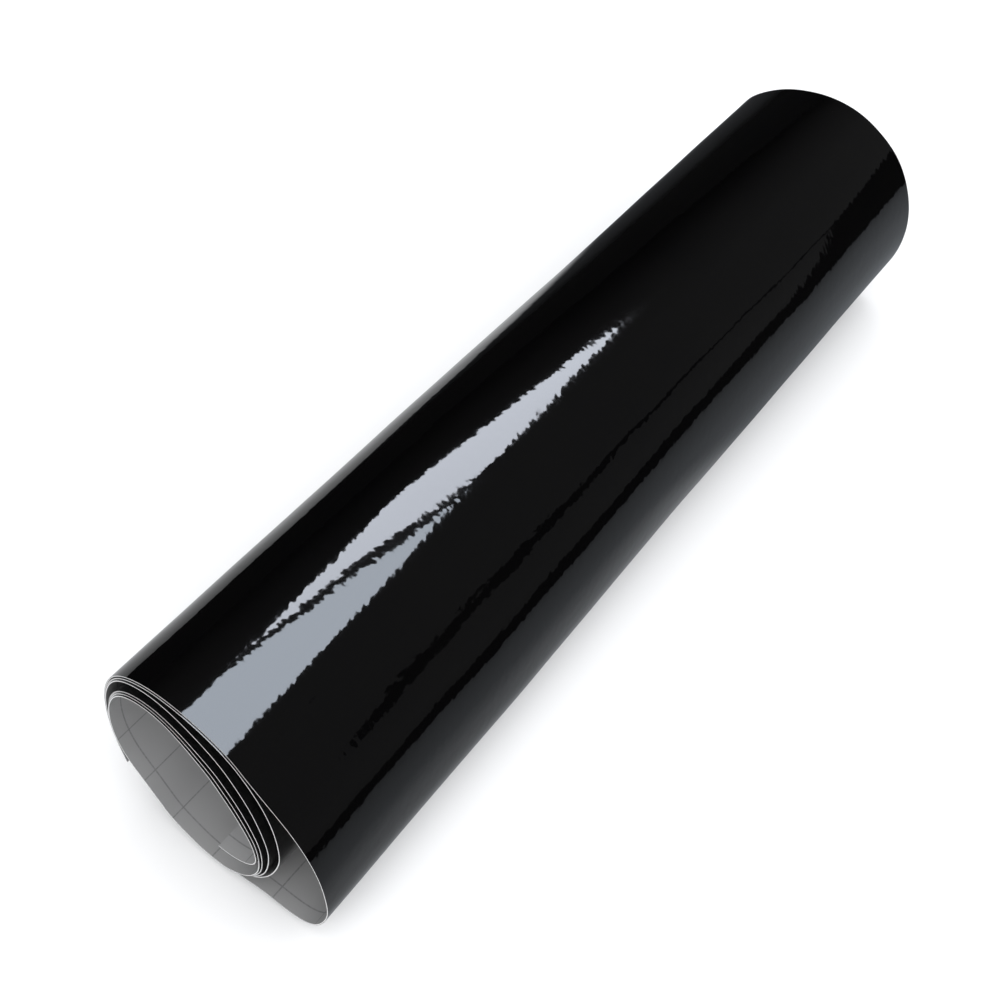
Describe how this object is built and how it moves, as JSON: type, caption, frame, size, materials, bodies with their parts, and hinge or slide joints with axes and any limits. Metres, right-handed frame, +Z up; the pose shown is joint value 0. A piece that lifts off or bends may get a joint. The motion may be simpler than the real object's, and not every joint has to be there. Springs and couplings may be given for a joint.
{
  "type": "sign vinyl roll",
  "caption": "Coreless roll of glossy black self-adhesive sign vinyl on a grey release liner, with a slack outer turn and a free end that unwinds and peels.",
  "frame": {"origin": "centre of the footprint on the surface that the roll lies on", "axes": "+Y along the roll, away from the telescoped end; +Z up; the slack outer turn bulges towards +X"},
  "size_m": [0.0698, 0.307, 0.0579],
  "materials": {
    "film": "high gloss calendered vinyl",
    "adhesive": "clear tacky acrylic adhesive",
    "liner": "satin silicone-coated paper with a printed grid"
  },
  "bodies": {
    "roll": {"film_coil": "film", "film_outer_turn": "film", "adhesive_coil": "adhesive", "adhesive_outer_turn": "adhesive", "liner_coil": "liner", "liner_outer_turn": "liner"},
    "free_end_1": {"film_tail_1": "film", "adhesive_tail_1": "adhesive", "liner_tail_1": "liner"},
    "free_end_2": {"film_tail_2": "film", "adhesive_tail_2": "adhesive", "liner_tail_2": "liner"},
    "free_end_3": {"film_tail_3": "film", "adhesive_tail_3": "adhesive", "liner_tail_3": "liner"},
    "free_end_4": {"film_tail_4": "film", "adhesive_tail_4": "adhesive", "liner_tail_4": "liner"},
    "free_end_5": {"film_tail_5": "film", "adhesive_tail_5": "adhesive", "liner_tail_5": "liner"},
    "free_end_6": {"film_tail_6": "film", "adhesive_tail_6": "adhesive", "liner_tail_6": "liner"},
    "peel_lip": {"film_lip": "film", "adhesive_lip": "adhesive"},
    "inner_end": {"film_inner_end": "film", "adhesive_inner_end": "adhesive", "liner_inner_end": "liner"}
  },
  "joints": [
    {"name": "unwind_1", "type": "hinge", "parent": "roll", "child": "free_end_1", "pos_m": [0.00075, 0, 0.05486], "axis": [0, 1, 0], "range_deg": [0, 18], "stiffness_Nm_per_rad": 0.01},
    {"name": "unwind_2", "type": "hinge", "parent": "free_end_1", "child": "free_end_2", "pos_m": [-0.01018, 0, 0.05765], "axis": [0, 1, 0], "range_deg": [0, 18], "stiffness_Nm_per_rad": 0.01},
    {"name": "unwind_3", "type": "hinge", "parent": "free_end_2", "child": "free_end_3", "pos_m": [-0.02257, 0, 0.05692], "axis": [0, 1, 0], "range_deg": [0, 18], "stiffness_Nm_per_rad": 0.01},
    {"name": "unwind_4", "type": "hinge", "parent": "free_end_3", "child": "free_end_4", "pos_m": [-0.03275, 0, 0.04935], "axis": [0, 1, 0], "range_deg": [0, 18], "stiffness_Nm_per_rad": 0.01},
    {"name": "unwind_5", "type": "hinge", "parent": "free_end_4", "child": "free_end_5", "pos_m": [-0.03487, 0, 0.03678], "axis": [0, 1, 0], "range_deg": [0, 18], "stiffness_Nm_per_rad": 0.01},
    {"name": "unwind_6", "type": "hinge", "parent": "free_end_5", "child": "free_end_6", "pos_m": [-0.03337, 0, 0.02593], "axis": [0, 1, 0], "range_deg": [0, 18], "stiffness_Nm_per_rad": 0.01},
    {"name": "peel", "type": "hinge", "parent": "free_end_6", "child": "peel_lip", "pos_m": [-0.03222, 0, 0.02184], "axis": [0, 1, 0], "range_deg": [0, 120]},
    {"name": "inner_end_lift", "type": "hinge", "parent": "roll", "child": "inner_end", "pos_m": [0.01399, 0, 0.02254], "axis": [0, 1, 0], "range_deg": [0, 30], "stiffness_Nm_per_rad": 0.01}
  ],
  "couplings": [
    {"joint": "unwind_2", "follows": "unwind_1", "ratio": 1},
    {"joint": "unwind_3", "follows": "unwind_1", "ratio": 1},
    {"joint": "unwind_4", "follows": "unwind_1", "ratio": 1},
    {"joint": "unwind_5", "follows": "unwind_1", "ratio": 1},
    {"joint": "unwind_6", "follows": "unwind_1", "ratio": 1}
  ]
}
